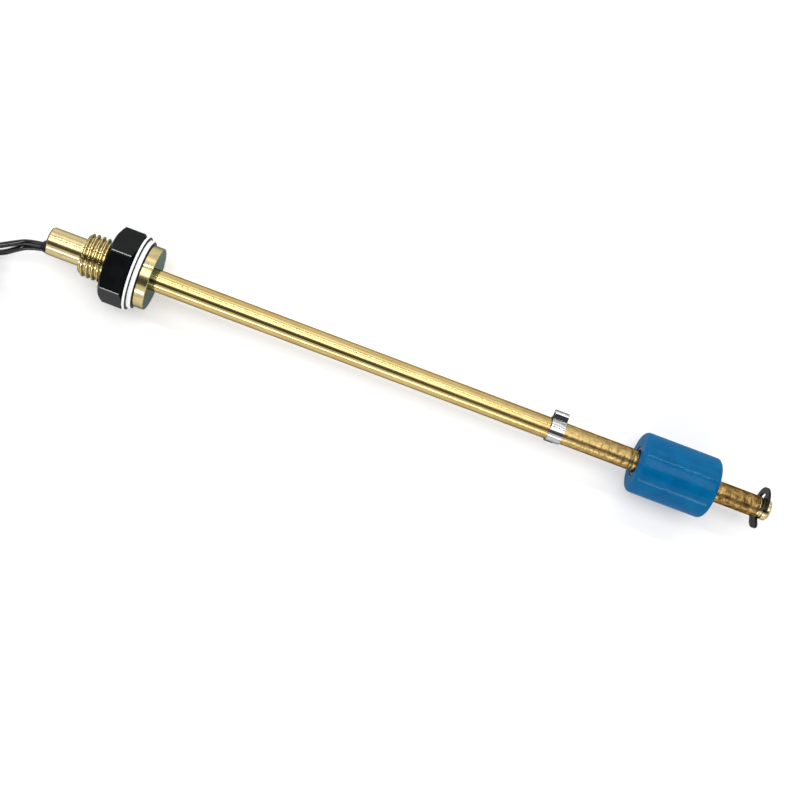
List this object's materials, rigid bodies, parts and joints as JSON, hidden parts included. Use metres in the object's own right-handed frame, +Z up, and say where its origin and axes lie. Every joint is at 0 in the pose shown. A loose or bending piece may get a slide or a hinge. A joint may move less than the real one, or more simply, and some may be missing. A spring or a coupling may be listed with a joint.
{
  "type": "float switch",
  "caption": "Long-stem float switch: brass stem with threaded flange fitting, hex nut, washers, sliding blue float with magnet, stop clip, retaining clip and two coiled leads.",
  "frame": {"origin": "on the stem's axis at the flange's sealing face, the face that clamps the seal washer", "axes": "+X runs along the stem from the flange towards the float and the retaining clip; +Z is up, away from the surface that the switch lies on; the thread and the leads point to -X"},
  "size_m": [0.3217, 0.0554, 0.0274],
  "materials": {
    "turned_brass": "polished",
    "tube_brass": "brushed, tarnished towards the float",
    "black_steel": "blackened spring steel",
    "bright_steel": "polished",
    "white_rubber": "matt",
    "white_nylon": "satin",
    "black_nylon": "glossy",
    "blue_float": "semi-gloss moulded skin",
    "dark_liner": "satin",
    "ferrite": "sintered",
    "switch_glass": "clear",
    "blade_alloy": "satin",
    "sleeve_plastic": "satin",
    "tinned_copper": "tinned",
    "resin": "cast resin",
    "lead_pvc": "glossy PVC",
    "tie_plastic": "satin"
  },
  "bodies": {
    "stem": {"stem_fitting": "turned_brass", "stem_tube": "tube_brass", "end_plug": "turned_brass", "retaining_clip": "black_steel", "stop_clip": "bright_steel", "seal_washer": "white_rubber", "reed_glass": "switch_glass", "reed_blade_upper": "blade_alloy", "reed_blade_lower": "blade_alloy", "reed_sleeve": "sleeve_plastic", "return_wire": "tinned_copper", "splice_common": "tinned_copper", "splice_upper": "tinned_copper", "splice_lower": "tinned_copper", "potting": "resin", "lead_a_inner": "lead_pvc", "lead_b_inner": "lead_pvc", "lead_a": "lead_pvc", "lead_b": "lead_pvc", "lead_a_coil": "lead_pvc", "lead_b_coil": "lead_pvc", "lead_a_tip": "tinned_copper", "lead_b_tip": "tinned_copper", "coil_tie": "tie_plastic"},
    "nut_washer": {"nut_washer": "white_nylon"},
    "nut": {"mounting_nut": "black_nylon"},
    "float_carrier": {"float_liner": "dark_liner", "float_magnet": "ferrite"},
    "float": {"float_body": "blue_float"}
  },
  "joints": [
    {"name": "nut_travel", "type": "slide", "parent": "stem", "child": "nut_washer", "axis": [-1, 0, 0], "range_m": [0, 0.0091]},
    {"name": "nut_spin", "type": "hinge", "parent": "nut_washer", "child": "nut", "pos_m": [-0.008, 0, 0], "axis": [-1, 0, 0], "range_deg": [0, 1620]},
    {"name": "float_slide", "type": "slide", "parent": "stem", "child": "float_carrier", "axis": [1, 0, 0], "range_m": [-0.0282, 0.0187]},
    {"name": "float_turn", "type": "hinge", "parent": "float_carrier", "child": "float", "pos_m": [0.2, 0, 0], "axis": [1, 0, 0], "continuous": true}
  ],
  "couplings": [
    {"joint": "nut_travel", "follows": "nut_spin", "m_per_rad": 0.00031831}
  ]
}
